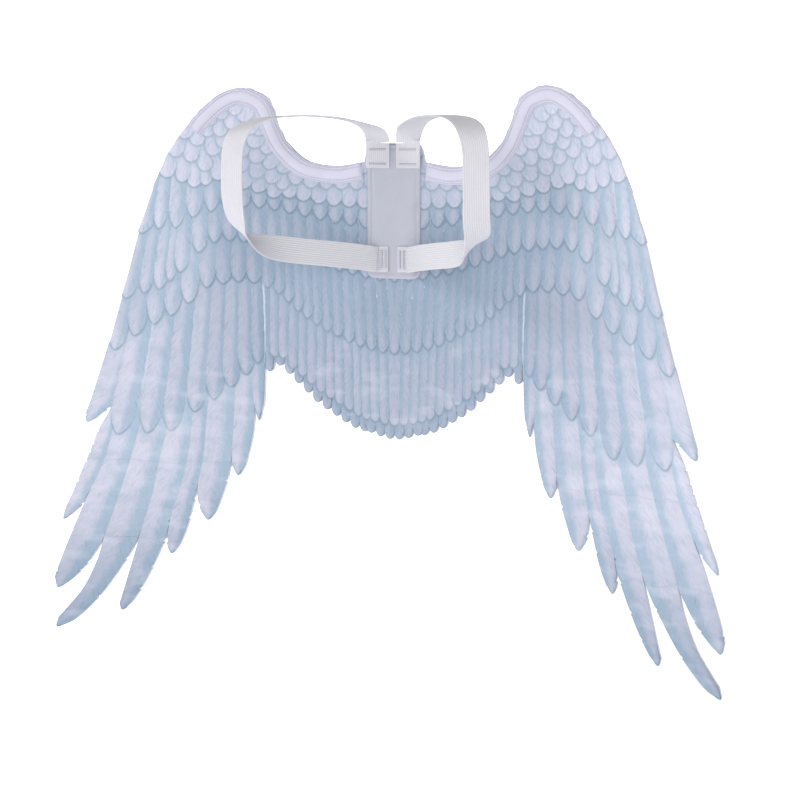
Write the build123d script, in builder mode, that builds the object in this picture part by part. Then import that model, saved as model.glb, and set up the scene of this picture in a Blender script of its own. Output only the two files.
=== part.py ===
from build123d import *
from math import cos, radians, sin
import os

# Feathered costume wings, worn on the back. Millimetres.
# +X is the wearer's left, the wearer faces -Y, +Z is up.
# The origin is the centre of the back pad's front face, the face that lies against the wearer.

# ---- driving dimensions ----
PEAK_Z = 120            # top of each wing's hump above the origin
CUP_RADIUS = 1000       # the wings curve forward round this vertical cylinder
SHEET_Y = 5             # middle of the laminate behind the pad's front face, at the spine

SKIN = 0.8              # printed plush skin
CORE = 2.4              # foam core
PAD_SIZE = (56, 130)    # the back pad, which fills the space in front of the laminate
CENTRE_HALF = 30        # half width of the centre piece
CENTRE_TOP = -54        # its top edge, measured from the peak
TAPE_WIDTH = 20
TAPE_THICK = 1

HINGE_GAP = 2           # centre piece to wing root
FOLD_Z = -264           # fold line across the wing, measured from the peak
FOLD_GAP = 3.5          # wing to tip along the fold line
TIP_ROOT = 140          # inner end of the fold line
ELBOW = (301, FOLD_Z)   # outer end of the fold line

CASING_WIDTH = 18
CASING_THICK = 2.6
CHANNEL_WALL = 0.6
BONE_WIDTH = 6
CAP_SIZE = (8, 9)       # length along the bone, width

STRAP_WIDTH = 25
STRAP_THICK = 1.6
STRAP_X = 16            # the sewn ends lie on this line, one each side of the spine
TAB_LENGTH = 24
LOW_TAB_Z = -46
TACK_SIZE = (18, 2.4, 0.8)

HALF_SHEET = SKIN + CORE / 2
CUP_CENTRE = (0, SHEET_Y - CUP_RADIUS)
ROOT_X = CENTRE_HALF + HINGE_GAP

# ---- outlines on the wing's face: x from the spine, z from the peak ----
# The top edge, from the root over the hump and down the leading edge to the fold.
TOP_EDGE = [
    (ROOT_X, -72), (62, -76), (92, -71), (112, -54), (122, -36), (130, -13),
    (146, -2), (166, 0), (188, -9), (208, -27), (238, -70), (262, -132), (282, -204), ELBOW,
]
# The middle line of the boned casing, which follows the top edge.
CASING_LINE = [
    (ROOT_X + 3, -81), (62, -85), (96, -79), (119, -60), (131, -38), (139, -19),
    (151, -11), (166, -9), (183, -17), (201, -33), (208.5, -43),
]
# Long flight feathers below the fold, from the leading edge inwards: tip, then the slit after it.
FLIGHT_FEATHERS = [
    ((322, -339), (298, -324)), ((345, -438), (319, -408)), ((352, -509), (304, -453)),
    ((350, -551), (267, -447)), ((285, -531), (235, -426)), ((236, -471), (209, -398)),
    ((198, -435), (174, -368)), ((167, -388), (149, -318)), ((145, -331), (TIP_ROOT, -282)),
]
FLIGHT_TIP_RADIUS = 5.5
# Short inner feathers, from the fold inwards to the root.
INNER_TIPS = [
    (133, -281), (122, -275), (112, -283), (102, -292), (92, -301), (82, -310),
    (72, -317), (62, -323), (52, -329), (42, -334),
]
INNER_START = (137, FOLD_Z)
INNER_END = (ROOT_X, -322)
INNER_SLIT = 13         # slit above the tip
LEAN = 19               # degrees that a feather leans outwards at LEAN_X, from upright at LEAN_FROM
LEAN_FROM = 80
LEAN_X = 300
TIP_CURL = 16           # further degrees outwards at a flight feather's tip
CENTRE_TIPS = [(25, -338), (15, -341), (5, -343), (-5, -343), (-15, -341), (-25, -338)]
INNER_TIP_RADIUS = 3.2


def face_point(x, z):
    """A point on the wing's face, given from the spine and the peak."""
    return (x, PEAK_Z + z)


def feather_run(x, curl=0):
    """The direction that feathers point in, which leans outwards with the distance from the spine."""
    lean = radians(max(0, abs(x) - LEAN_FROM) / (LEAN_X - LEAN_FROM) * LEAN + curl)
    return Vector(sin(lean), -cos(lean))


def feather_end(start, tip, end, tip_radius, curl=0):
    """One feather's free end, from the slit before it, round its tip, to the slit after it."""
    start, tip, end = (Vector(*face_point(*p)) for p in (start, tip, end))
    along = feather_run(tip.X, curl)
    across = Vector(-along.Y, along.X)
    centre = tip - along * tip_radius
    outer = centre + across * tip_radius
    inner = centre - across * tip_radius
    outer_length = (outer - start).length
    inner_length = (inner - end).length
    Bezier(
        start,
        start + feather_run(start.X) * outer_length * 0.45,
        outer - along * outer_length * 0.4 + across * outer_length * 0.04,
        outer,
    )
    ThreePointArc(outer, tip, inner)
    Bezier(
        inner,
        inner - along * inner_length * 0.4 - across * inner_length * 0.1,
        end + feather_run(end.X) * inner_length * 0.45,
        end,
    )


def feather_row(start, tips, end, tip_radius):
    """A row of short feathers side by side, from start to end."""
    slits = [((a[0] + b[0]) / 2, (a[1] + b[1]) / 2 + INNER_SLIT) for a, b in zip(tips, tips[1:])]
    edges = [start, *slits, end]
    for before, tip, after in zip(edges, tips, edges[1:]):
        feather_end(before, tip, after, tip_radius)


def wing_outline():
    """The wing from its root to the fold line."""
    with BuildSketch(Plane.XZ) as outline:
        with BuildLine():
            Spline(*[face_point(*p) for p in TOP_EDGE])
            Line(face_point(*ELBOW), face_point(*INNER_START))
            feather_row(INNER_START, INNER_TIPS, INNER_END, INNER_TIP_RADIUS)
            Line(face_point(*INNER_END), face_point(*TOP_EDGE[0]))
        make_face()
    return outline.sketch


def tip_outline():
    """The flight feathers below the fold line."""
    fold = FOLD_Z - FOLD_GAP
    start = (ELBOW[0] + 1, fold)
    with BuildSketch(Plane.XZ) as outline:
        with BuildLine():
            before = start
            for tip, slit in FLIGHT_FEATHERS:
                feather_end(before, tip, slit, FLIGHT_TIP_RADIUS, TIP_CURL)
                before = slit
            Line(face_point(*before), face_point(TIP_ROOT, fold))
            Line(face_point(TIP_ROOT, fold), face_point(*start))
        make_face()
    return outline.sketch


def centre_outline():
    """The narrow piece between the two wings, with short feathers at its foot."""
    with BuildSketch(Plane.XZ) as outline:
        with BuildLine():
            foot = CENTRE_TIPS[0][1] + INNER_SLIT
            right, left = (CENTRE_HALF, foot), (-CENTRE_HALF, foot)
            top_right, top_left = (CENTRE_HALF, CENTRE_TOP), (-CENTRE_HALF, CENTRE_TOP)
            feather_row(right, CENTRE_TIPS, left, INNER_TIP_RADIUS)
            Line(face_point(*left), face_point(*top_left))
            Line(face_point(*top_left), face_point(*top_right))
            Line(face_point(*top_right), face_point(*right))
        make_face()
    return outline.sketch


def band_outline(line, width):
    """A band of even width along a curve on the wing's face."""
    with BuildSketch(Plane.XZ) as outline:
        with BuildLine():
            Spline(*[face_point(*p) for p in line])
        trace(line_width=width)
    return outline.sketch


def cap_outline(place, beside):
    """A bone's end cap at a point of the casing line, turned towards the next point."""
    turn = Vector(beside[0] - place[0], beside[1] - place[1]).get_signed_angle(Vector(1, 0))
    with BuildSketch(Plane.XZ) as outline:
        with Locations(Location((*face_point(*place), 0), (0, 0, -turn))):
            RectangleRounded(*CAP_SIZE, 2)
    return outline.sketch


def curved_sheet(outline, front, back):
    """An outline made solid between two distances from the laminate's middle, front being less."""
    with BuildPart() as sheet:
        extrude(outline, amount=120, both=True)
        with BuildSketch(Plane.XY.offset(-600)):
            with Locations(CUP_CENTRE):
                Circle(CUP_RADIUS + back)
                Circle(CUP_RADIUS + front, mode=Mode.SUBTRACT)
        extrude(amount=900, mode=Mode.INTERSECT)
    return sheet.part


def save(part, name):
    part.label = name
    export_step(part, f"parts/{name}.step")
    print(f"{name:26s} {part.volume / 1000:8.2f} cm3, {len(part.solids())} solid")


def save_pair(part, name):
    """The wearer's left piece as given, and its mirror image on the right."""
    save(part, f"left_{name}")
    with BuildPart() as other:
        mirror(part, about=Plane.YZ)
    save(other.part, f"right_{name}")


os.makedirs("parts", exist_ok=True)

# ---- laminated sheets: front skin, foam core, back skin ----
LAYERS = [
    ("front_skin", -HALF_SHEET, -CORE / 2),
    ("core", -CORE / 2, CORE / 2),
    ("back_skin", CORE / 2, HALF_SHEET),
]
for layer, front, back in LAYERS:
    save(curved_sheet(centre_outline(), front, back), f"centre_{layer}")
    save_pair(curved_sheet(wing_outline(), front, back), f"wing_{layer}")
    save_pair(curved_sheet(tip_outline(), front, back), f"tip_{layer}")

# ---- boned casing along the top edge ----
casing_front = -HALF_SHEET - CASING_THICK
channel_front = casing_front + CHANNEL_WALL
channel_back = -HALF_SHEET - CHANNEL_WALL
bone_line = CASING_LINE[1:-1]
inner_cap = cap_outline(bone_line[0], bone_line[1])
outer_cap = cap_outline(bone_line[-1], bone_line[-2])

with BuildPart() as bone_caps:
    add(curved_sheet(inner_cap, channel_front, channel_back))
    add(curved_sheet(outer_cap, channel_front, channel_back))

with BuildPart() as edge_bone:
    add(curved_sheet(band_outline(bone_line, BONE_WIDTH), channel_front, channel_back))
    add(bone_caps.part, mode=Mode.SUBTRACT)

with BuildPart() as edge_casing:
    add(curved_sheet(band_outline(CASING_LINE, CASING_WIDTH), casing_front, -HALF_SHEET))
    add(edge_bone.part, mode=Mode.SUBTRACT)
    add(bone_caps.part, mode=Mode.SUBTRACT)

save_pair(edge_casing.part, "edge_casing")
save_pair(edge_bone.part, "edge_bone")
save_pair(bone_caps.part, "bone_caps")

# ---- back pad and spine tape on the centre piece ----
pad_width, pad_height = PAD_SIZE
with BuildPart() as back_pad:
    with BuildSketch(Plane.XZ) as pad_face:
        RectangleRounded(pad_width, pad_height, 8)
    extrude(amount=-SHEET_Y)
    with BuildSketch(Plane.XY.offset(-pad_height)):
        with Locations(CUP_CENTRE):
            Circle(CUP_RADIUS - HALF_SHEET)
    extrude(amount=2 * pad_height, mode=Mode.INTERSECT)
save(back_pad.part, "back_pad")

tape_low = PEAK_Z - 310
tape_high = PEAK_Z + CENTRE_TOP - 4
with BuildPart() as spine_tape:
    with BuildSketch(Plane.XY.offset(tape_low)):
        with Locations(CUP_CENTRE):
            Circle(CUP_RADIUS + HALF_SHEET + TAPE_THICK)
            Circle(CUP_RADIUS + HALF_SHEET, mode=Mode.SUBTRACT)
        Rectangle(TAPE_WIDTH, 100, mode=Mode.INTERSECT)
    extrude(amount=tape_high - tape_low)
save(spine_tape.part, "spine_tape")

# ---- elastic shoulder straps ----
PIVOT_Y = -STRAP_THICK / 2
STRAP_TOP = PEAK_Z + CENTRE_TOP
# Middle line of the left strap's free loop, from the top edge of the pad over the shoulder,
# down its front and back under the arm, with the direction of the strap's width at each point.
ACROSS, DIAGONAL, UPRIGHT = (1, 0, 0), (0.7, 0.72, 0), (0, 0, 1)
FRONT_FACING, ROLLING = (0.98, 0.17, 0), (0.75, 0.3, 0.6)
STRAP_LOOP = [
    ((STRAP_X, PIVOT_Y, STRAP_TOP + 0.5), ACROSS),
    ((STRAP_X + 1, -3, 73), ACROSS),
    ((23, -9, 81), (0.9, 0.4, 0)),
    ((34, -20, 87), DIAGONAL),
    ((52, -36, 91), DIAGONAL),
    ((74, -54, 92), DIAGONAL),
    ((96, -72, 90), (0.8, 0.6, 0)),
    ((111, -84, 84), (0.9, 0.44, 0)),
    ((120, -92, 74), FRONT_FACING),
    ((124, -95, 60), FRONT_FACING),
    ((125, -96, 38), FRONT_FACING),
    ((125, -95, 16), FRONT_FACING),
    ((124, -92, -2), (0.95, 0.3, 0.05)),
    ((122, -85, -16), (0.8, 0.35, 0.45)),
    ((115, -76, -26), ROLLING),
    ((101, -63, -33), (0.4, 0.2, 0.9)),
    ((80, -47, -37), UPRIGHT),
    ((56, -31, -40), UPRIGHT),
    ((34, -16, -43), UPRIGHT),
    ((20, -6.5, -45.5), UPRIGHT),
    ((STRAP_X, -2.6, LOW_TAB_Z), UPRIGHT),
]


def strap_section(before, place, after, across):
    """The strap's cross-section at one point: its plane stands square to the run there."""
    run = (Vector(*after) - Vector(*before)).normalized()
    across = Vector(*across)
    across = (across - run * across.dot(run)).normalized()
    with BuildSketch(Plane(origin=place, x_dir=across, z_dir=run)) as section:
        Rectangle(STRAP_WIDTH, STRAP_THICK)
    return section.sketch


places = [place for place, across in STRAP_LOOP]
# The first section lies level and the last one faces the pad, so that the loop turns clear of both.
start_x, start_y, start_z = places[0]
end_x, end_y, end_z = places[-1]
befores = [(start_x, start_y, start_z - 1), *places[:-2], (end_x, end_y - 1, end_z)]
afters = [(start_x, start_y, start_z + 1), *places[2:], (end_x, end_y + 1, end_z)]
sections = []
for before, (place, across), after in zip(befores, STRAP_LOOP, afters):
    sections.append(strap_section(before, place, after, across))
with BuildPart() as strap:
    loft(sections, ruled=True)
save_pair(strap.part, "strap")

# The strap's sewn ends, flat on the pad's front face.
with BuildPart() as strap_tabs:
    with BuildSketch(Plane.XZ):
        with Locations((STRAP_X, STRAP_TOP - TAB_LENGTH / 2)):
            Rectangle(STRAP_WIDTH, TAB_LENGTH)
        with Locations((STRAP_X - 5, LOW_TAB_Z)):
            Rectangle(12, STRAP_WIDTH)
    extrude(amount=STRAP_THICK)
save_pair(strap_tabs.part, "strap_tabs")

# Bar tacks: dense thread blocks across each sewn end.
tack_length, tack_width, tack_thick = TACK_SIZE
with BuildPart() as bar_tacks:
    with BuildSketch(Plane.XZ.offset(STRAP_THICK)):
        with Locations((STRAP_X, STRAP_TOP - 6), (STRAP_X, STRAP_TOP - TAB_LENGTH + 4)):
            RectangleRounded(tack_length, tack_width, 1)
        with Locations((STRAP_X - 8.5, LOW_TAB_Z), (STRAP_X - 4.4, LOW_TAB_Z)):
            RectangleRounded(tack_width, tack_length, 1)
    extrude(amount=tack_thick)
save_pair(bar_tacks.part, "strap_bar_tacks")
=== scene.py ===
import math

import bpy
import numpy as np
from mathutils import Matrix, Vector, geometry


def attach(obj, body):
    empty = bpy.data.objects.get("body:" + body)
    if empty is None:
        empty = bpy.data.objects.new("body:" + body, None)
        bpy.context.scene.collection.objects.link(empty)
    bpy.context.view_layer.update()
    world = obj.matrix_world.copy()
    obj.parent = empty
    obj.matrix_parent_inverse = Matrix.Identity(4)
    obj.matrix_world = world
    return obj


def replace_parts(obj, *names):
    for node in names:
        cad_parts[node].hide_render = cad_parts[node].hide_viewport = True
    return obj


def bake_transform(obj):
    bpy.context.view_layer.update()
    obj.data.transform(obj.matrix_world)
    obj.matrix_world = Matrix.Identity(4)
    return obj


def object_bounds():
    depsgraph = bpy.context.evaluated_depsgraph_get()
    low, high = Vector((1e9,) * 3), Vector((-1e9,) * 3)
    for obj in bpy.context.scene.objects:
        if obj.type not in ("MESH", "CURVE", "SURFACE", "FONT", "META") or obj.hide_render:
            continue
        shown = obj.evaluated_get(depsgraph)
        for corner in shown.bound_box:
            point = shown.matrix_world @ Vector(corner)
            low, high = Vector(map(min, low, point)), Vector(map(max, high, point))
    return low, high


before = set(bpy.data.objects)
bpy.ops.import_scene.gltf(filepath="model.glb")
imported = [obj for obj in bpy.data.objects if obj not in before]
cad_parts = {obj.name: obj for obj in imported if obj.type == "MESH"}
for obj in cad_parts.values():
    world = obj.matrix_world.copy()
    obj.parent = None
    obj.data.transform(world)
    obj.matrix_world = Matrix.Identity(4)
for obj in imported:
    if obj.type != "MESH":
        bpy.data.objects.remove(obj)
cad_low, cad_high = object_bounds()

# Sizes in millimetres, as in the CAD. Outlines lie in the wing's face: x from the spine, z from the peak.
PEAK_Z = 120.0
CUP_RADIUS = 1000.0
SHEET_Y = 5.0
HALF_SHEET = 2.0
HALF_CORE = 1.2
SEAM_X = 30.0
CENTRE_TOP = -54.0
# The casing's stitch rows are CHANNEL and EDGE_ROW from its middle line, on both sides.
CASING_WIDTH = 17.4
CHANNEL = 4.9
EDGE_ROW = 7.3
# PAD_ROW is the stitching's inset from the pad's edge, TAPE_ROW its place off the tape's middle line.
PAD_SIZE = (56.0, 130.0)
PAD_ROW = 4.3
TAPE_WIDTH = 20.0
TAPE_ROW = 8.6
STRAP_WIDTH = 25.0
STRAP_THICK = 1.6
RIB = 2.1
STITCH_PITCH = 3.3
STRAP_X = 16
STRAP_LOW_Z = -46.0

# In metres: the threads.
STITCH_RADIUS = 0.00026
TACK_RADIUS = 0.00031
# How far the two packing creases lie below the pad's middle, in metres.
CREASES = (0.256, 0.335)

SIDES = (("left", 1), ("right", -1))
rng = np.random.default_rng(11)


# ---------------------------------------------------------------- camera
def add_camera():
    """At the photo's angle: towards the wearer's left and a little above."""
    turn, tilt, distance = math.radians(24), math.radians(7.3), 2.1
    target = Vector((0.005, 0.005, -0.184))
    back = Vector((math.sin(turn) * math.cos(tilt), -math.cos(turn) * math.cos(tilt), math.sin(tilt)))
    data = bpy.data.cameras.new("camera")
    data.lens = 96.4
    data.sensor_width = 36
    camera = bpy.data.objects.new("camera", data)
    camera.location = target + back * distance
    camera.rotation_mode = "QUATERNION"
    camera.rotation_quaternion = (-back).to_track_quat("-Z", "Y")
    bpy.context.scene.collection.objects.link(camera)
    bpy.context.scene.camera = camera


add_camera()


# ---------------------------------------------------------------- curves and polygons
def smooth(points, step=2.4):
    """Points at small steps on a smooth curve through the given ones."""
    p = np.array(points, float)
    p = np.vstack([2 * p[0] - p[1], p, 2 * p[-1] - p[-2]])
    runs = []
    for a, b, c, d in zip(p, p[1:], p[2:], p[3:]):
        n = max(1, int(round(np.linalg.norm(c - b) / step)))
        t = np.arange(n)[:, None] / n
        cubic = (3 * b - a - 3 * c + d) * t**3
        runs.append(0.5 * (2 * b + (c - a) * t + (2 * a - 5 * b + 4 * c - d) * t**2 + cubic))
    runs.append(p[-2:-1])
    return np.vstack(runs)


def length_along(line):
    """The length of a line up to each of its points."""
    return np.concatenate([[0], np.cumsum(np.linalg.norm(np.diff(line, axis=0), axis=1))])


def unit(vectors):
    return vectors / np.maximum(np.linalg.norm(vectors, axis=-1, keepdims=True), 1e-9)


def quarter_turn(vectors):
    return np.stack([-vectors[:, 1], vectors[:, 0]], -1)


def resample(curve, count):
    """A curve at evenly spaced points along its length."""
    length = length_along(curve)
    at = np.linspace(0, length[-1], count)
    return np.stack([np.interp(at, length, curve[:, k]) for k in range(curve.shape[1])], -1)


def ease(t):
    """A smooth rise from 0 at 0 to 1 at 1."""
    t = np.clip(t, 0, 1)
    return t * t * (3 - 2 * t)


def inside(outline, points):
    """Which points lie inside a closed outline."""
    a, b = outline, np.roll(outline, -1, 0)
    low, high = outline.min(0), outline.max(0)
    near = np.all((points >= low) & (points <= high), axis=1)
    found = np.zeros(len(points), bool)
    x, z = points[near, 0], points[near, 1]
    ax, az, bx, bz = a[:, :1], a[:, 1:], b[:, :1], b[:, 1:]
    crosses = (az > z) != (bz > z)
    rise = np.where(az == bz, 1, bz - az)
    found[near] = ((crosses & (x < ax + (z - az) * (bx - ax) / rise)).sum(0) % 2) == 1
    return found


def distance_to(points, line, closed=False):
    """Each point's distance to a polyline, the nearest segment's number and the place along it."""
    a = line if closed else line[:-1]
    b = np.roll(line, -1, 0) if closed else line[1:]
    run = b - a
    square = np.maximum((run**2).sum(1), 1e-9)
    t = np.clip(((points[:, None] - a) * run).sum(2) / square, 0, 1)
    gap = np.linalg.norm(points[:, None] - (a + run * t[..., None]), axis=2)
    nearest = gap.argmin(1)
    rows = np.arange(len(points))
    return gap[rows, nearest], nearest, t[rows, nearest]


# ---------------------------------------------------------------- the printed feathers
FEATHERS = []


def lean_at(x):
    """Degrees that a covert leans outwards."""
    return 16 * (max(0, x - 80) / 210) ** 2


def add_feather(outline, line, half, rank, part, blue=0.0, shade=0.0, band=1.0, fade=0.0, relief=1.0):
    """One feather of the print: its cut, its middle line from base to tip with the half width there, its
    layer, how its print looks, and how much painted shade darkens it."""
    FEATHERS.append({
        "outline": outline, "line": line, "half": half, "rank": rank, "part": part, "blue": blue,
        "shade": shade, "band": band, "fade": fade, "relief": relief, "random": rng.random(),
    })


def covert(tip, width, length, rank, lean=None, curl=4.0, blunt=0.62, point=0.5, split=0.0, **look):
    """A feather with even sides, given by its tip. blunt is its rounded end's length in widths, point above
    0.5 narrows that end, and split notches the edges."""
    lean = lean_at(tip[0]) if lean is None else lean
    end = width * blunt
    round_end = end * (1 - np.cos(np.linspace(0, math.pi / 2, 9)))
    down = np.concatenate([round_end, np.arange(end + 2.2, length, 2.6)])
    angle = np.radians(lean - curl * down / length)
    step = np.diff(down, prepend=0)
    line = np.stack([tip[0] - np.cumsum(np.sin(angle) * step), tip[1] + np.cumsum(np.cos(angle) * step)],
                    -1)
    half = width / 2 * (1 - np.clip(1 - down / end, 0, 1) ** 2) ** point
    half = half * (1 - 0.12 * ease(down / length))
    look.setdefault("fade", 1.0)
    across = np.stack([np.cos(angle), np.sin(angle)], -1)
    wobble = 1 + 0.035 * np.sin(down / 3.1 + tip[0]) * ease(down / end)
    cuts = np.ones((2, len(down)))
    if split:
        for edge in cuts:
            for k in rng.choice(np.arange(6, len(down) - 4), 2, replace=False):
                edge[k] -= split * (0.5 + rng.random())
                edge[k - 1] += split * 0.35
    outer = line + across * (half * wobble * cuts[0])[:, None]
    inner = line - across * (half * wobble[::-1] * cuts[1])[:, None]
    outline = np.vstack([outer[::-1], inner[1:]])
    add_feather(outline, line[::-1], half[::-1], rank, look.pop("part", "wing"), **look)


def nick(edge, places, depth=1.3):
    """Small barbs that stand out from a feather's edge at the given shares of its length."""
    edge = edge.copy()
    along = unit(np.gradient(edge, axis=0))
    out = quarter_turn(along)
    for place in places:
        k = int(abs(place) * (len(edge) - 1))
        sign = 1 if place > 0 else -1
        edge[k] += sign * out[k] * depth + along[k] * 1.2
        if k + 1 < len(edge):
            edge[k + 1] -= sign * out[k + 1] * depth * 0.35
    return edge


def flight(outer, tip, inner, rank, outer_nicks=(), inner_nicks=(), **look):
    """A long feather, given by its two edges from base to tip."""
    look.setdefault("fade", 0.35)
    # Inner flight feathers take more painted shade, where a wearer's arm would shade them.
    look.setdefault("shade", 0.05 * rank + 0.02 * max(0, rank - 3) if rank < 8 else 0.1)
    left = smooth(outer, 2.2)
    if outer_nicks:
        left = nick(smooth([*outer, tip], 2.2), [-p for p in outer_nicks])[:-3]
    right = nick(smooth([*inner, tip], 2.2), inner_nicks)
    # The last stretch runs round the tip instead of ending in a point.
    end = smooth([outer[-1], tip, inner[-1]], 1.4)
    outline = np.vstack([left, end, right[:-1][::-1]])
    a, b = resample(smooth([*outer, tip]), 40), resample(smooth([*inner, tip]), 40)
    line, half = (a + b) / 2, np.linalg.norm(a - b, axis=1) / 2
    add_feather(outline, line, half, rank, "tip", **look)


def lay_out_feathers():
    """Every feather from the lowest layer to the highest, for the wearer's left half."""
    # The sheet beneath, which shows only where no feather covers it.
    top = smooth([
        (32, -72), (62, -76), (92, -71), (112, -54), (122, -36), (130, -13), (146, -2), (166, 0),
        (188, -9), (208, -27), (238, -70), (262, -132), (282, -204), (299, -262),
    ], 1.6)
    # The leading edge steps in a little below each printed feather's tip.
    steps = ((-70, 0.9, 14), (-98, 0.9, 16), (-143, 1.3, 20), (-209, 1.0, 24), (-52, 0.6, 9))
    for low_end, proud, reach in steps:
        share = 1 - (top[:, 1] - low_end) / reach
        top[:, 0] += np.where((share > 0) & (share <= 1) & (top[:, 0] > 190), proud * share, 0)
    # Under the casing the plush edge is a little uneven.
    along = length_along(top)
    out = unit(quarter_turn(np.gradient(top, axis=0)))
    uneven = 0.35 * np.sin(along / 1.9) + 0.45 * np.sin(along / 3.1 + 1) - 0.8
    uneven = uneven * ease((top[:, 0] - 100) / 20)
    top += out * (uneven * (top[:, 0] < 214))[:, None]
    centre_top = smooth([(-4, -54), (20, -54), (26, -55.5), (29.5, -61), (32, -72)], 2.0)
    foot = np.array([(290, -275), (137.5, -275), (137.5, -262), (30, -318), (-4, -325)], float)
    sheet = np.vstack([centre_top, top[1:], foot])
    shaft = np.array([(150, 0), (150, -300)], float)
    add_feather(sheet, shaft, np.array([150.0, 150.0]), -1, "wing", blue=0.5, band=0.0)

    # Flight feathers. Each inner one lies over the inner edge of the one outside it.
    b = [(268, -250), (283, -290), (297, -322), (309, -344), (318, -367), (328, -391), (337, -413),
         (344, -429)]
    cb = [(262, -262), (278, -300), (290, -325), (297, -350), (304, -375), (311, -392), (319, -408)]
    dc = [(246, -265), (259, -310), (268, -340), (278, -375), (289, -410), (304, -453)]
    ed = [(228, -270), (236, -320), (242, -350), (248, -375), (256, -412), (267, -447)]
    fe = [(206, -275), (213, -320), (216, -350), (220, -375), (226, -400), (235, -426)]
    gf = [(190, -275), (198, -320), (201, -350), (204, -375), (209, -398)]
    hg = [(168, -265), (170, -310), (172, -340), (174, -368)]
    ih = [(146, -250), (147, -290), (149, -318)]
    under = 2.0

    def tucked(edge):
        return [(x - under, z) for x, z in edge[:-1]] + [edge[-1]]

    flight(b, (345.5, -438), [*tucked(cb), (329, -424), (339, -434)], 0, (0.52, 0.58, 0.63, 0.68, 0.79),
           (0.9,))
    flight([*cb, (329, -431), (340, -458), (349, -482), (354, -499)], (351, -509),
           [*tucked(dc), (314, -471), (324, -486), (334, -497), (343, -505)], 1, (0.93,), (0.86, 0.9))
    flight([*dc, (312, -480), (325, -508), (340, -528), (350, -540)], (352, -550),
           [*tucked(ed), (275, -465), (290, -490), (310, -518), (330, -539), (342, -547)], 2, (),
           (0.68, 0.83))
    flight([*ed, (272, -466), (279, -490), (285, -511), (289, -524)], (286, -531),
           [*tucked(fe), (241, -450), (252, -477), (264, -502), (277, -523)], 3, (), (0.62, 0.7, 0.8, 0.9))
    flight([*fe, (238.5, -441), (240.5, -455), (240, -465)], (236, -471),
           [*tucked(gf), (215, -422), (221, -444), (229, -463)], 4, (0.93,), (0.7, 0.8))
    flight([*gf, (209, -415), (205, -428)], (199, -435),
           [*tucked(hg), (179, -392), (186, -413), (192, -428)], 5, (0.9,), (0.75,))
    flight([*hg, (174, -378)], (168, -388), [*tucked(ih), (152, -345), (158, -370), (162, -381)], 6)
    flight([(160, -240), (158, -262), (153, -290), ih[-1]], (145, -331),
           [(138, -240), (138, -262), (138.5, -290), (140, -315)], 7)

    # Row 4, the longest coverts, over the roots of the flight feathers.
    flight([(288, -228), (295, -247), (300.5, -264), (309, -290), (317, -315), (322, -329)], (321, -337),
           [(258, -228), (271, -275), (280, -301), (291, -315.5), (303, -325), (315, -335)], 10, (0.93,),
           (0.82,), blue=0.1)
    row_4 = [(290, -349, 26, 14), (260.5, -347, 24, 12), (236, -344, 22, 9.5), (211, -324, 22, 8),
             (191, -311, 21, 6),
             (173, -298, 20, 4), (157, -285, 19, 2), (144.8, -273, 13, 0.5)]
    # The inner ones take more painted shade, where a wearer's arm would shade them.
    for k, (x, z, width, lean) in enumerate(row_4):
        covert((x, z), width, 152, 11 + k, lean=lean, curl=5, blunt=1.35, point=0.58, split=0.06,
               part="tip",
               blue=0.05 + 0.02 * k, shade=0.15 + 0.09 * k, fade=0.35)

    # Inner group: a bluer lower layer and a lavender upper one, both darkened with painted shade
    # where a wearer's body would shade them.
    low = [(133, -281), (122, -275), (112, -283), (102, -292), (92, -301), (82, -310), (72, -317),
           (62, -323), (52, -329), (42, -334), (32, -337), (25, -338), (15, -341), (5, -343), (-5, -343)]
    for k, tip in enumerate(low):
        covert(tip, 10.4 if k else 9, 90, 20 + k, lean=1.5 if tip[0] > 60 else 0, blunt=0.75, blue=0.8,
               shade=0.75, band=0.3)
    high = [(127.5, -266), (118, -267), (108, -277), (97.5, -284.5), (88, -292), (78, -299.5), (68, -305.5),
            (58, -311), (48, -316.5), (38, -321.5), (29.5, -324.5), (20, -326.5), (10, -328.5), (0, -329.5)]
    for k, tip in enumerate(high):
        covert(tip, 10.6, 110, 40 + k, lean=1.5 if tip[0] > 60 else 0, blunt=0.7, blue=0.3, shade=0.65,
               band=0.5, fade=0.5)

    # Rows 3, 2 and 1 of long coverts, each over the next: tip and width.
    row_3 = [(292.5, -262.5, 19), (272, -248, 21), (252, -236, 20), (234, -227, 20), (216, -214, 20),
             (197, -198, 20),
             (180, -194, 19), (164, -192, 18), (148, -193, 17), (134, -197, 15), (122, -203, 13),
             (112, -211, 12),
             (102, -220, 11.5), (92, -227, 11.5), (82, -233, 12), (71, -239, 12.5), (60, -244, 13),
             (48, -249, 13),
             (36, -253, 13), (24, -256, 13), (12, -258, 13), (0, -259, 13)]
    row_2 = [(280, -210, 18), (261, -204.5, 15), (246, -200.5, 16), (235, -192, 11), (224, -183, 16),
             (205, -163, 17),
             (189, -153, 17), (173, -151, 17), (158, -152, 16), (143, -154, 16), (128, -157, 16),
             (114, -161, 15),
             (100, -166, 15), (86, -171, 15), (72, -175, 15), (58, -179, 15), (44, -182, 15),
             (30, -185, 15),
             (15, -187, 15), (0, -188, 15)]
    row_1 = [(263, -144.5, 23), (245.5, -139.5, 14), (228.5, -138.5, 16), (210.5, -128, 17),
             (192, -122, 17),
             (175, -118, 17), (158, -117, 17), (142, -118, 17), (126, -120, 17), (110, -123, 17),
             (94, -126, 17), (78, -129, 17), (62, -132, 17), (46, -134, 17), (30, -136, 17), (15, -137, 16),
             (0, -138, 16)]
    # dark is each row's painted shade, greater on the lower rows.
    for base, row, length, dark in ((100, row_3, 84, 0.2), (200, row_2, 80, 0.12), (300, row_1, 66, 0.05)):
        for k, (x, z, width) in enumerate(row):
            # Near the body: bluer and darker, partly print and partly painted shade of a wearer's arm.
            inward = ease((222 - x) / 55)
            rank = base + (k if x > 150 else 30 - k * 0.5)
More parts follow.
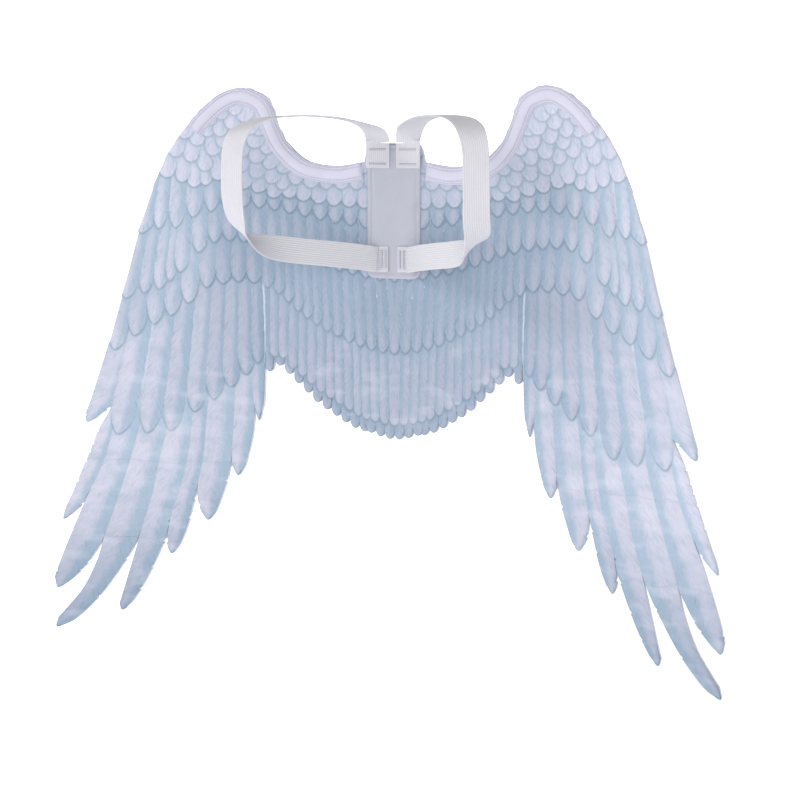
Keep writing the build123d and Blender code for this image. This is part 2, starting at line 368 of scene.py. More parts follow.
            covert((x, z), width, length, rank, lean=16.5 if k == 0 else None,
                   blunt=1.2 if x > 185 else 0.9, point=0.62, split=0.13, blue=0.06 + 0.3 * inward,
                   shade=dark + 0.5 * inward, band=0.8)

    # Scallops on the hump, and their neighbours down the inner edge.
    scallops = [
        (168, -27, 17), (182, -31, 18), (160, -33, 20), (194, -37, 18), (171, -41, 19), (156, -45, 21),
        (196, -48, 19), (183, -48, 17), (167, -54, 19), (206.5, -57, 18), (180, -59, 18), (219, -50, 19),
        (190.5, -67, 18), (176, -73, 18), (213, -73, 18), (228.5, -68, 18), (199, -82, 18),
        (237.5, -88.5, 18),
        (222, -93, 15), (210, -98, 16), (198, -96, 12), (186, -91, 17), (163, -68, 18),
        (151, -58, 20), (146, -46, 18), (149, -73, 18), (164, -83, 18), (175, -95, 17), (138, -64, 18),
        (135, -79, 18), (149, -88, 18), (161, -99, 18), (121, -83, 18), (133, -93, 18),
        (147, -102, 18), (104, -95, 18), (88, -98, 18), (72, -99, 18), (56, -99, 18), (40, -99, 18),
        (24, -99, 18), (8, -99, 18), (118, -100, 18), (131, -107, 17), (111, -108, 18), (96, -111, 18),
        (80, -113, 18), (64, -115, 18), (48, -116, 18), (32, -117, 18), (16, -118, 18), (0, -118, 18),
        (32, -83, 17), (16, -83, 17), (0, -82, 17), (24, -69, 16), (8, -68, 16),
    ]
    for x, z, width in scallops:
        lean = 10 + 1.1 * max(0, 172 - x) if x > 118 else 2
        # Inwards and down: bluer and darker, partly print and partly painted shade of a wearer's body.
        inward = ease((212 - x) / 60) * ease((-z - 40) / 50)
        covert((x, z), width, 36, 500 + z, lean=min(lean, 34), blunt=0.6 + 0.15 * rng.random(), split=0.07,
               blue=0.05 + 0.2 * inward, shade=0.3 * inward, band=0.35, relief=0.7)


lay_out_feathers()
FEATHERS.sort(key=lambda f: f["rank"])


def owner_of(points):
    """The number of the topmost feather at each point, or -1."""
    owner = np.full(len(points), -1)
    for k, feather in enumerate(FEATHERS):
        owner[inside(feather["outline"], points)] = k
    owner[beyond_edge(points)] = -1
    return owner


def beyond_edge(points):
    """Above the fold, nothing stands out past the sheet's own cut edge."""
    return (points[:, 1] > -255) & ~inside(FEATHERS[0]["outline"], points)


def visible_edges():
    """The stretches of outline that no higher feather covers, with each one's feather."""
    outlines = [feather["outline"] for feather in FEATHERS]
    a, b = np.vstack(outlines), np.vstack([np.roll(outline, -1, 0) for outline in outlines])
    whose = np.repeat(np.arange(len(outlines)), [len(outline) for outline in outlines])
    seen = np.zeros(len(a), bool)
    for points in ((a + b) / 2, a * 0.9 + b * 0.1, a * 0.1 + b * 0.9):
        covered = np.zeros(len(a), bool)
        for k, outline in enumerate(outlines):
            lower = np.flatnonzero(whose < k)
            covered[lower] |= inside(outline, points[lower])
        seen |= ~covered
    cut_edge = (whose == 0) & (a[:, 1] > -262) & (b[:, 1] > -262)
    seen = (seen & ~beyond_edge((a + b) / 2) & (whose > 0)) | (seen & (whose == 0)) | cut_edge
    seen &= (a[:, 0] > -6) & (b[:, 0] > -6)
    return a[seen], b[seen], whose[seen]


def near_any(points, samples, reach):
    """Which points have a sample nearer than reach. The samples are sorted into squares of that size."""
    squares = {}
    for x, z in samples:
        squares.setdefault((int(x // reach), int(z // reach)), []).append((x, z))
    squares = {key: np.array(value) for key, value in squares.items()}

    def is_near(x, z):
        i, j = int(x // reach), int(z // reach)
        around = (squares.get((i + di, j + dj)) for di in (-1, 0, 1) for dj in (-1, 0, 1))
        return any(((found - (x,
                              z)) ** 2).sum(1).min() < reach * reach for found in around if found is not None)

    return np.array([is_near(x, z) for x, z in points], bool)


def face_mesh():
    """The flat mesh of the left half: its points, triangles, and each triangle's feather."""
    a, b, whose = visible_edges()
    run = b - a
    out = unit(quarter_turn(run))
    samples = np.vstack([a, (a + b) / 2, a + run * 0.25, a + run * 0.75])
    beside = np.vstack([(a + b) / 2 + out * 0.85, (a + b) / 2 - out * 0.85])
    beside = beside[~near_any(beside, samples, 0.7)]
    pitch = 3.0
    across = np.arange(0.5, 362, pitch)
    grid = np.vstack([
        np.stack([across + (pitch / 2 if k % 2 else 0), np.full(len(across), z)], -1)
        for k, z in enumerate(np.arange(-560, 6, pitch * 0.866))
    ])
    grid += rng.uniform(-0.25, 0.25, grid.shape)
    grid = grid[owner_of(grid) >= 0]
    grid = grid[~near_any(grid, np.vstack([samples, beside]), 1.5)]
    beside = beside[owner_of(beside) >= 0]
    seams = [np.array([(x, z) for z in np.arange(-352, -44, 2.5)]) for x in (0.0, SEAM_X)]
    points = np.vstack([a, b, beside, grid, *seams])
    edges = [(k, k + len(a)) for k in range(len(a))]
    start = len(points) - sum(len(s) for s in seams)
    for line in seams:
        edges += [(start + k, start + k + 1) for k in range(len(line) - 1)]
        start += len(line)
    made = geometry.delaunay_2d_cdt([Vector(p) for p in points.tolist()], edges, [], 0, 1e-4, False)
    flat = np.array([tuple(v) for v in made[0]])
    triangles = np.array(made[2])
    middle = flat[triangles].mean(1)
    owner = owner_of(middle)
    corners = flat[triangles]
    area = np.cross(corners[:, 1] - corners[:, 0], corners[:, 2] - corners[:, 0]) / 2
    keep = (owner >= 0) & (middle[:, 0] > 0) & (np.abs(area) > 1e-5)
    triangles, owner, area = triangles[keep], owner[keep], area[keep]
    triangles[area < 0] = triangles[area < 0][:, ::-1]
    used, renumbered = np.unique(triangles, return_inverse=True)
    return flat[used], renumbered.reshape(-1, 3), owner, (a, b, whose)


def edge_rows(triangles):
    """The directed edges that only one triangle has: start, end, and the two corners' places."""
    directed = np.stack([triangles, np.roll(triangles, -1, 1)], -1).reshape(-1, 2)
    key = np.sort(directed, axis=1)
    code = key[:, 0].astype(np.int64) * (triangles.max() + 1) + key[:, 1]
    _, first, count = np.unique(code, return_index=True, return_counts=True)
    single = np.sort(first[count == 1])
    following = single // 3 * 3 + (single % 3 + 1) % 3
    return directed[single], np.stack([single, following], -1)


def describe(flat, triangles, owner, edges):
    """What each triangle corner knows of its feather, and each point's height above the sheet."""
    a, b, whose = edges
    samples = np.vstack([a, (a + b) / 2])
    sample_whose = np.concatenate([whose, whose])
    tips = np.array([f["line"][-1] for f in FEATHERS])
    full_half = np.array([f["half"].max() for f in FEATHERS])
    # A feather's contact shade fades from its tip up its sides.
    from_tip = np.linalg.norm(samples - tips[sample_whose], axis=1)
    lift = np.minimum(np.maximum(0, from_tip - 1.1 * full_half[sample_whose]) * 0.14, 3.2)
    lift[sample_whose == 0] = 12
    pair_code = triangles.astype(np.int64) * 1000 + owner[:, None]
    codes, pair = np.unique(pair_code, return_inverse=True)
    pair = pair.reshape(-1, 3)
    vertex, feather = codes // 1000, codes % 1000
    place, cover, tone, more = (np.zeros((len(codes), 3)) for _ in range(4))
    height = np.zeros(len(codes))
    for k, f in enumerate(FEATHERS):
        mine = np.flatnonzero(feather == k)
        if not len(mine):
            continue
        at = flat[vertex[mine]]
        line, half = f["line"], f["half"]
        _, segment, t = distance_to(at, line)
        start, run = line[segment], line[segment + 1] - line[segment]
        aside = ((at - start) * quarter_turn(unit(run))).sum(1)
        wide = np.maximum(half[segment] * (1 - t) + half[segment + 1] * t, 0.5)
        steps = np.linalg.norm(np.diff(line, axis=0), axis=1)
        left = np.concatenate([np.cumsum(steps[::-1])[::-1], [0]])
        to_tip = left[segment] * (1 - t) + left[segment + 1] * t
        own = distance_to(at, f["outline"], True)[0]
        over = np.full(len(at), 12.0)
        low, high = at.min(0) - 12, at.max(0) + 12
        close = (sample_whose > k) & np.all((samples > low) & (samples < high), axis=1)
        higher = samples[close]
        for chunk in range(0, len(at), 400):
            if len(higher):
                gap = (np.linalg.norm(at[chunk:chunk + 400, None] - higher, axis=2) + lift[close]).min(1)
                over[chunk:chunk + 400] = np.minimum(gap, 12)
        full = half.max()
        place[mine] = np.stack([aside, to_tip, np.full(len(at), f["random"] * 60)], -1)
        cover[mine] = np.stack([np.minimum(own, 12), over, np.clip(aside / wide, -1.3, 1.3)], -1)
        # The shade value here is the feather's painted shade.
        tone[mine] = [f["blue"], f["shade"], f["band"]]
        more[mine] = [f["fade"], f["random"], full / 20]
        if f["rank"] >= 0:
            reach = min(70.0, left[0])
            ramp = 0.1 + 0.6 * ease(1 - to_tip / reach)
            dome = 0.32 * np.clip(1 - (aside / wide) ** 2, 0, 1) * min(1, full / 9)
            height[mine] = (ramp + dome) * f["relief"]
    rise = np.full(len(flat), 1e9)
    np.minimum.at(rise, vertex, height)
    rim, _ = edge_rows(triangles)
    at_rim = np.unique(rim)
    rise[at_rim[flat[at_rim, 0] > 0.01]] = 0.02
    return pair, {"place": place, "cover": cover, "tone": tone, "more": more}, rise


FLAT, TRIANGLES, OWNER, EDGES = face_mesh()
PAIR, KNOWN, RISE = describe(FLAT, TRIANGLES, OWNER, EDGES)
PART = np.array([f["part"] for f in FEATHERS], dtype="<U8")[OWNER]
MIDDLE = FLAT[TRIANGLES].mean(1)
PART[MIDDLE[:, 0] < SEAM_X] = "centre"


def settle_scraps(parts, least=40):
    """A scrap of one body's sheet that is cut off from the rest joins its neighbour, or goes if alone."""
    sides = np.sort(np.stack([TRIANGLES, np.roll(TRIANGLES, -1, 1)], -1).reshape(-1, 2), axis=1)
    code = sides[:, 0].astype(np.int64) * len(FLAT) + sides[:, 1]
    order = np.argsort(code, kind="stable")
    shared = np.flatnonzero(code[order][1:] == code[order][:-1])
    pairs = np.stack([order[shared] // 3, order[shared + 1] // 3], -1)
    joined = pairs[parts[pairs[:, 0]] == parts[pairs[:, 1]]]
    label, before = np.arange(len(TRIANGLES)), None
    while before is None or (label != before).any():
        before = label.copy()
        least_label = np.minimum(label[joined[:, 0]], label[joined[:, 1]])
        np.minimum.at(label, joined[:, 0], least_label)
        np.minimum.at(label, joined[:, 1], least_label)
        label = label[label]
    scrap = np.bincount(label, minlength=len(label))[label] < least
    neighbour = {}
    for p, q in pairs[scrap[pairs[:, 0]] != scrap[pairs[:, 1]]]:
        p, q = (q, p) if scrap[q] else (p, q)
        neighbour[label[p]] = parts[q]
    for k in np.flatnonzero(scrap):
        parts[k] = neighbour.get(label[k], "")


settle_scraps(PART)

CASING_LINE = smooth([
    (34, -81), (62, -85), (96, -79), (119, -60), (131, -38), (139, -19), (151, -11), (166, -9),
    (183, -17), (201, -33), (208.5, -43),
], 2.2)


def wave(x, z):
    """The sheet's slight ripples away from the cup's even curve, which die out at the boning."""
    x = np.abs(x)
    loose = ease((-z - 130) / 160)
    ripple = 1.1 * np.sin(x / 27 + z / 95) + 0.7 * np.sin(z / 41 - x / 60 + 1)
    curl = -5.0 * ease((-z - 430) / 120) * ease((x - 200) / 120)
    return loose * ripple * ease((x - 60) / 60) + curl


def wrapped(x, z, offset):
    """Points on the cup, in metres, at a distance behind the sheet's middle."""
    y = SHEET_Y - CUP_RADIUS + np.sqrt((CUP_RADIUS + offset) ** 2 - x**2) + wave(x, z)
    return np.stack([x, y, z + PEAK_Z], -1) * 0.001


# ---------------------------------------------------------------- meshes
def make_mesh(name, points, triangles, corners=None, sharp=60):
    """A mesh from triangles, with values on its corners."""
    mesh = bpy.data.meshes.new(name)
    count = len(triangles)
    mesh.vertices.add(len(points))
    mesh.vertices.foreach_set("co", np.asarray(points, np.float32).ravel())
    mesh.loops.add(count * 3)
    mesh.loops.foreach_set("vertex_index", np.asarray(triangles, np.int32).ravel())
    mesh.polygons.add(count)
    mesh.polygons.foreach_set("loop_start", np.arange(0, count * 3, 3, dtype=np.int32))
    mesh.polygons.foreach_set("use_smooth", np.ones(count, bool))
    mesh.update(calc_edges=True)
    for key, values in (corners or {}).items():
        attribute = mesh.attributes.new(key, "FLOAT_VECTOR", "CORNER")
        attribute.data.foreach_set("vector", np.asarray(values, np.float32).ravel())
    mesh.validate()
    mesh.set_sharp_from_angle(angle=math.radians(sharp))
    piece = bpy.data.objects.new(name, mesh)
    bpy.context.scene.collection.objects.link(piece)
    return piece


def slab(name, part, front, back, mirrored=False, print_face=None):
    """A closed layer of the sheet between two offsets. print_face is the side with the feathers' relief."""
    pair = PAIR[PART == part]
    used, triangles = np.unique(TRIANGLES[PART == part], return_inverse=True)
    triangles = triangles.reshape(-1, 3)
    x, z, rise = FLAT[used, 0], FLAT[used, 1], RISE[used]
    if part == "centre":
        # The other half joins it along the spine.
        on_line = x < 1e-3
        other = np.where(on_line, np.arange(len(x)), np.cumsum(~on_line) - 1 + len(x))
        x = np.append(x, -x[~on_line])
        z, rise = np.append(z, z[~on_line]), np.append(rise, rise[~on_line])
        triangles = np.vstack([triangles, other[triangles][:, ::-1]])
        pair = np.vstack([pair, pair[:, ::-1]])
    fronts, backs = np.full(len(x), front), np.full(len(x), back)
    if print_face == "front":
        fronts = fronts - rise * clear_of_fittings(x, z, True)
    if print_face == "back":
        backs = backs + rise * clear_of_fittings(x, z, False)
    if mirrored:
        x = -x
        triangles = triangles[:, ::-1]
        pair = pair[:, ::-1]
    points = np.vstack([wrapped(x, z, fronts), wrapped(x, z, backs)])
    n = len(x)
    rim, corner = edge_rows(triangles)
    flat_pair = pair.ravel()
    start, end = rim[:, 0], rim[:, 1]
    start_pair, end_pair = flat_pair[corner[:, 0]], flat_pair[corner[:, 1]]
    faces = np.vstack([triangles, triangles[:, ::-1] + n, np.stack([start, start + n, end + n], -1),
                       np.stack([start, end + n, end], -1)])
    pairs = np.vstack([pair, pair[:, ::-1], np.stack([start_pair, start_pair, end_pair], -1),
                       np.stack([start_pair, end_pair, end_pair], -1)]).ravel()
    corners = {key: values[pairs] for key, values in KNOWN.items()} if print_face else None
    return make_mesh(name, points, faces, corners)


def clear_of_fittings(x, z, at_front):
    """1 where the print's relief is free, 0 under the casing, pad and tape."""
    free = np.ones(len(x))
    if at_front:
        flat = np.stack([np.abs(x), z], -1)
        near = (flat[:, 1] > -100) & (flat[:, 0] > 30)
        gap = distance_to(flat[near], CASING_LINE)[0]
        free[near] = ease((gap - 8.6) / 1.6)
        half_x, half_z = PAD_SIZE[0] / 2 - 0.5, PAD_SIZE[1] / 2 - 0.5
        free[(np.abs(x) < half_x) & (np.abs(z + PEAK_Z) < half_z)] = 0
    else:
        free[(np.abs(x) < TAPE_WIDTH / 2 + 0.3) & (z > -312)] = 0
    return free


# ---------------------------------------------------------------- materials
def colour(code):
    """A colour written as in a paint list, made linear."""
    parts = [int(code[k:k + 2], 16) / 255 for k in (0, 2, 4)]
    return tuple(c / 12.92 if c <= 0.04045 else ((c + 0.055) / 1.055) ** 2.4 for c in parts) + (1.0,)


class Nodes:
    """A short way to write a material's nodes."""

    def __init__(self, name, roughness=0.8, sheen=0.0, specular=0.3):
        self.material = bpy.data.materials.new(name)
        self.material.use_nodes = True
        self.tree = self.material.node_tree
        self.shader = self.tree.nodes["Principled BSDF"]
        self.shader.inputs["Roughness"].default_value = roughness
        self.shader.inputs["Specular IOR Level"].default_value = specular
        self.shader.inputs["Sheen Weight"].default_value = sheen
        self.shader.inputs["Sheen Roughness"].default_value = 0.45

    def put(self, socket, value):
        if isinstance(value, bpy.types.NodeSocket):
            self.tree.links.new(value, socket)
        else:
            socket.default_value = value

    def math(self, kind, a, b=0.0, c=0.0, clamp=False):
        node = self.tree.nodes.new("ShaderNodeMath")
        node.operation = kind
        node.use_clamp = clamp
        for socket, value in zip(node.inputs, (a, b, c)):
            self.put(socket, value)
        return node.outputs[0]

    def times(self, a, b):
        return self.math("MULTIPLY", a, b)

    def plus(self, a, b, clamp=False):
        return self.math("ADD", a, b, clamp=clamp)

    def scaled(self, a, factor, added, clamp=False):
        return self.math("MULTIPLY_ADD", a, factor, added, clamp)

    def size_of(self, a):
        return self.math("ABSOLUTE", a)

    def step(self, value, low, high):
        """0 below low, 1 above high, and smooth between; the other way round if low is the greater."""
        node = self.tree.nodes.new("ShaderNodeMapRange")
        node.interpolation_type = "SMOOTHSTEP"
        turned = low > high
        self.put(node.inputs["Value"], value)
        node.inputs["From Min"].default_value = min(low, high)
        node.inputs["From Max"].default_value = max(low, high)
        node.inputs["To Min"].default_value = 1.0 if turned else 0.0
        node.inputs["To Max"].default_value = 0.0 if turned else 1.0
        return node.outputs["Result"]

    def mix(self, factor, a, b, kind="MIX"):
        node = self.tree.nodes.new("ShaderNodeMix")
        node.data_type = "RGBA"
        node.blend_type = kind
        node.clamp_factor = True
        self.put(node.inputs["Factor"], factor)
        # Sockets 6 and 7 are the two colours.
        self.put(node.inputs[6], a)
        self.put(node.inputs[7], b)
        return node.outputs[2]

    def tint(self, base, code, amount, strength):
        """base moved towards a colour."""
        return self.mix(self.times(amount, strength), base, colour(code))

    def shaded(self, base, code, amount):
        """base multiplied by a colour."""
        return self.mix(amount, base, self.mix(1.0, base, colour(code), "MULTIPLY"))

    def split(self, vector):
        node = self.tree.nodes.new("ShaderNodeSeparateXYZ")
        self.put(node.inputs[0], vector)
        return node.outputs

    def join(self, x, y, z):
        node = self.tree.nodes.new("ShaderNodeCombineXYZ")
        for socket, value in zip(node.inputs, (x, y, z)):
            self.put(socket, value)
        return node.outputs[0]

    def attribute(self, name):
        node = self.tree.nodes.new("ShaderNodeAttribute")
        node.attribute_name = name
        return node.outputs["Vector"]

    def here(self):
        return self.tree.nodes.new("ShaderNodeTexCoord").outputs["Object"]

    def noise(self, vector, scale, detail=2.0, roughness=0.5):
        node = self.tree.nodes.new("ShaderNodeTexNoise")
        self.put(node.inputs["Vector"], vector)
        node.inputs["Scale"].default_value = scale
        node.inputs["Detail"].default_value = detail
        node.inputs["Roughness"].default_value = roughness
        return node.outputs[0]

    def bump(self, height, distance, strength=1.0, under=None):
        node = self.tree.nodes.new("ShaderNodeBump")
        self.put(node.inputs["Height"], height)
        node.inputs["Distance"].default_value = distance
        node.inputs["Strength"].default_value = strength
        if under is not None:
            self.put(node.inputs["Normal"], under)
        return node.outputs[0]

    def finish(self, base, normal=None, roughness=None):
        self.put(self.shader.inputs["Base Color"], base)
        if normal is not None:
            self.put(self.shader.inputs["Normal"], normal)
        if roughness is not None:
            self.put(self.shader.inputs["Roughness"], roughness)
        return self.material


def plush_print():
    """Short brushed pile printed with feathers."""
    n = Nodes("plush_print", roughness=0.9, sheen=0.12, specular=0.12)
    here = n.here()
    x, _, z = n.split(here)[:3]
    aside, to_tip, random = n.split(n.attribute("place"))[:3]
    own, over, across = n.split(n.attribute("cover"))[:3]
    blue, shade, band = n.split(n.attribute("tone"))[:3]
    fade, chance, _ = n.split(n.attribute("more"))[:3]

    soft = n.noise(here, 60, 3)
    soft_signed = n.math("SUBTRACT", soft, 0.5)
    fine_signed = n.math("SUBTRACT", n.noise(here, 420, 2), 0.5)
    wander = n.scaled(soft_signed, 0.7, n.scaled(fine_signed, 0.35, across))
    # The trailing side is blue, and the blue runs round the tip and up towards the base.
    trailing = n.step(wander, 0.14, -0.56)
    near_edge = n.times(n.step(own, 4.5, 0.8), n.step(to_tip, 30, 6))
    banded = n.times(n.math("MAXIMUM", trailing, n.times(near_edge, 0.7)), band)
    based = n.times(n.step(n.scaled(soft_signed, 14, to_tip), 9, 40), n.times(fade, 0.40))
    # Painted shade: bluer beneath the tips of the feathers that lie over this one.
    below = n.times(n.step(over, 9, 0), 0.28)
    bluish = n.plus(n.times(banded, 0.92), n.times(blue, 0.55))
    bluish = n.plus(n.plus(bluish, based), below, clamp=True)
    # Painted shade: the lowest parts of the long feathers turn bluer, where the light falls off.
    below_fold = n.step(n.scaled(soft_signed, 0.06, z), -0.32, -0.43)
    bluish = n.scaled(below_fold, 0.38, bluish, clamp=True)
    base = n.mix(bluish, colour("d6d4e3"), colour("acc0d2"))

    # Barbs run from the shaft outwards and towards the tip.
    spread = n.size_of(aside)
    slant = n.scaled(spread, 1.6, to_tip)
    barb_place = n.join(slant, n.times(aside, 0.16), random)
    barbs = n.noise(barb_place, 0.75, 4, 0.65)
    base = n.tint(base, "94a8bc", n.step(barbs, 0.5, 0.74), 0.6)
    base = n.tint(base, "d8d7e4", n.step(barbs, 0.46, 0.25), 0.38)
    streak_place = n.join(n.times(slant, 0.14), n.times(aside, 0.62), random)
    streaks = n.noise(streak_place, 0.8, 2)
    base = n.tint(base, "a3b6c7", n.step(streaks, 0.53, 0.72), n.scaled(fade, 0.3, 0.26))

    # Dark flecks, split barbs and the outline.
    fleck_place = n.join(n.times(slant, 0.42), n.times(aside, 0.1), random)
    flecks = n.noise(fleck_place, 0.9, 2, 0.6)
    base = n.tint(base, "8093aa", n.step(flecks, 0.70, 0.77), 0.5)
    split_place = n.join(n.times(slant, 1.3), n.times(aside, 0.1), random)
    splits = n.times(n.step(n.noise(split_place, 0.7, 1), 0.61, 0.69), n.step(own, 7, 0.5))
    base = n.tint(base, "8397ac", splits, 0.55)
    off_shaft = n.size_of(n.scaled(fine_signed, 0.8, aside))
    shaft = n.times(n.step(off_shaft, 0.6, 0.15), n.step(to_tip, 5, 14))
    base = n.tint(base, "98a9c0", shaft, 0.1)
    near_tip = n.scaled(n.step(to_tip, 15, 2.5), 0.78, 0.2)
    # Painted shadow: a dark line just beneath the edge of a feather that lies over this one.
    base = n.tint(base, "7c93a6", n.step(over, 2.6, 0.0), n.scaled(band, 0.3, 0.35, clamp=True))
    firm = n.scaled(band, 0.5, 0.5, clamp=True)
    near_tip = n.times(near_tip, firm)
    line = n.times(n.step(own, 0.85, 0.15), n.times(near_tip, 0.6))
    base = n.mix(line, base, colour("7c92a6"))
    # Just inside a feather's outline its tip is paler.
    rim_light = n.times(n.times(n.step(own, 1.0, 1.6), n.step(own, 3.2, 1.8)), n.step(to_tip, 16, 4))
    base = n.tint(base, "dadae6", rim_light, 0.3)
    # Painted shade darkens the colour: each feather's own amount, and more towards the bottom as the light falls off.
    lower = n.step(n.scaled(soft_signed, 0.05, z), -0.24, -0.43)
    shade = n.scaled(lower, 0.72, shade, clamp=True)
    base = n.shaded(base, "c2c8d0", shade)
    base = n.shaded(base, "e9ecf4", n.times(chance, 0.3))

    # Pile: fine flecks of light and shade, and a slow mottle from the handling, whose darker patches are
    # painted shade of slight puckers that the bump raises.
    pile = n.noise(here, 1500, 3, 0.7)
    mottle = n.noise(here, 38, 3, 0.6)
    base = n.tint(base, "e9e8ee", n.step(pile, 0.42, 0.7), 0.12)
    base = n.tint(base, "aab5c6", n.step(mottle, 0.5, 0.75), 0.25)

    # Two faint packing creases cross the long feathers: a groove in the bump, with painted shade along it.
    low = n.scaled(soft_signed, 0.012, z)
    crease = n.math("MAXIMUM", *(n.step(n.size_of(n.plus(low, depth)), 0.0016, 0.0) for depth in CREASES))
    base = n.tint(base, "9fadc3", crease, 0.2)
    # Soft wrinkles run across the long feathers, as they do after folding: raised in the bump, with painted
    # light on their crests and painted shade in their troughs.
    far_down = n.step(z, -0.02, -0.16)
    wrinkle_place = n.join(n.times(x, 24), n.times(z, 66), 0.0)
    wrinkles = n.times(n.noise(wrinkle_place, 1.0, 2, 0.5), far_down)
    base = n.tint(base, "e4e3ee", n.step(wrinkles, 0.5, 0.7), 0.2)
    base = n.tint(base, "9cadc0", n.step(wrinkles, 0.46, 0.3), n.times(far_down, 0.3))
    height = n.plus(n.times(barbs, 0.35), n.times(mottle, 0.9))
    height = n.scaled(wrinkles, 1.6, height)
    height = n.math("SUBTRACT", height, n.times(crease, 0.35))
    normal = n.bump(height, 0.0011, 0.55)
    normal = n.bump(pile, 0.00035, 0.55, normal)
    return n.finish(base, normal)


def cloth(name, pale, dark, pitch, roughness=0.85, sheen=0.15, depth=0.0002, pattern="plain", mapped=False,
          worn=0.25, seams=()):
    """A close weave. Mapped cloth follows its strip, in millimetres across it and along it, and the rest
    follows x and z. seams are distances from the middle line where the cloth dips at a stitch row, with
    painted shade in that dent."""
    n = Nodes(name, roughness=roughness, sheen=sheen, specular=0.2)
    here = n.here()
    if mapped:
        u, v = n.split(n.attribute("place"))[:2]
    else:
        x, _, z = n.split(here)[:3]
        u, v = n.times(x, 1000), n.times(z, 1000)
    turn = 2 * math.pi / pitch
    if pattern == "herringbone":
        fold = n.math("PINGPONG", u, pitch * 5)
        weave = n.math("SINE", n.times(n.plus(v, fold), turn))
    elif pattern == "rib":
        fold = n.math("PINGPONG", u, RIB / 2)
        weave = n.math("SINE", n.times(n.scaled(fold, 0.55, v), turn))
    else:
        weave = n.times(n.math("SINE", n.times(u, turn)), n.math("SINE", n.times(v, turn)))
    mottle = n.noise(here, 70, 3)
    fuzz = n.noise(here, 1400, 2)
    base = n.mix(n.step(weave, -0.9, 0.9), colour(dark), colour(pale))
    if pattern == "rib":
        # Painted shade in the grooves between the ribs.
        rib_groove_shade = n.step(n.math("PINGPONG", u, RIB / 2), 0.3, 0.0)
        base = n.shaded(base, "c9c9d6", n.times(rib_groove_shade, 0.5))
    base = n.mix(n.times(n.step(mottle, 0.45, 0.75), worn), base, colour(dark))
    height = n.plus(n.times(weave, 0.5), fuzz)
    for seam in seams:
        # Painted shade in the dent along each stitch row, darker still at the stitch holes.
        away = n.size_of(n.math("SUBTRACT", n.size_of(u), seam))
        holes = n.step(n.math("PINGPONG", v, STITCH_PITCH / 2), 0.9, 0.3)
        stitch_row_shade = n.times(n.step(away, 0.9, 0.1), n.scaled(holes, 0.25, 0.22))
        base = n.shaded(base, "c2c2d2", stitch_row_shade)
    return n.finish(base, n.bump(height, depth, 0.7))


def plastic(name, pale, dark, roughness):
    """A moulded strip with faint drawing marks along it."""
    n = Nodes(name, roughness=roughness, specular=0.45)
    here = n.here()
    x, y, z = n.split(here)[:3]
    marks = n.noise(n.join(n.times(x, 0.2), y, z), 900, 2)
    mottle = n.noise(here, 55, 2)
    base = n.mix(n.step(mottle, 0.4, 0.7), colour(pale), colour(dark))
    rough = n.scaled(marks, 0.2, roughness - 0.1)
    return n.finish(base, n.bump(marks, 0.00008, 0.5), rough)


MATERIALS = {
    "plush_print": plush_print(),
    "casing_cloth": cloth("casing_cloth", "e5e4f3", "d2d2e4", 0.9, sheen=0.2, mapped=True, depth=0.0004,
                          seams=(CHANNEL, EDGE_ROW)),
    "elastic": cloth("elastic", "e8e7eb", "cfced6", 0.8, roughness=0.72, depth=0.00025, pattern="rib",
                     mapped=True, worn=0.12),
    "thread": cloth("thread", "d3d2e0", "b9b9c9", 0.5, roughness=0.5, depth=0.0001),
    "pad_cloth": cloth("pad_cloth", "cfd0db", "b2b4c2", 1.3, depth=0.0004),
    "spine_binding": cloth("spine_binding", "d1d3e0", "b4b8ca", 1.1, pattern="herringbone", mapped=True,
                           depth=0.0004,
                           seams=(8.6,)),
    "foam_core": cloth("foam_core", "e4e3ea", "d0ced9", 1.7, roughness=0.95),
    "boning": plastic("boning", "e4e4e6", "d6d6da", 0.35),
    "bone_cap": plastic("bone_cap", "d2d2d9", "c2c2cb", 0.6),
}


def dress(piece, slot):
    piece.data.materials.clear()
    piece.data.materials.append(MATERIALS[slot])
    return piece


# ---------------------------------------------------------------- the sheets
def bend_at_root(piece):
    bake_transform(piece)


def finish_layer(piece, node, slot):
    """Gives a layer its material, and hides the CAD part that it stands for."""
    dress(piece, slot)
    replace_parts(piece, node)


LAYERS = (
    ("front_skin", -HALF_SHEET, -HALF_CORE, "front"),
    ("core", -HALF_CORE, HALF_CORE, None),
    ("back_skin", HALF_CORE, HALF_SHEET, "back"),
)
for layer, front, back, face in LAYERS:
    slot, ending = ("plush_print", f"{layer}_cloth") if face else ("foam_core", "foam")
    for side, sign in SIDES:
        for part in ("wing", "tip"):
            piece = slab(f"{side}_{part}_{ending}", part, front, back, sign < 0, face)
            finish_layer(piece, f"{side}_{part}_{layer}", slot)
            if part == "wing":
                bend_at_root(piece)
            else:
                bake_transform(piece)
    piece = slab(f"centre_{ending}", "centre", front, back, False, face)
    finish_layer(piece, f"centre_{layer}", slot)
    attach(piece, "centre")

for name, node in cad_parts.items():
    slot = {"bone": "boning", "caps": "bone_cap"}.get(name.split("_")[-1])
    if slot:
        dress(node, slot)


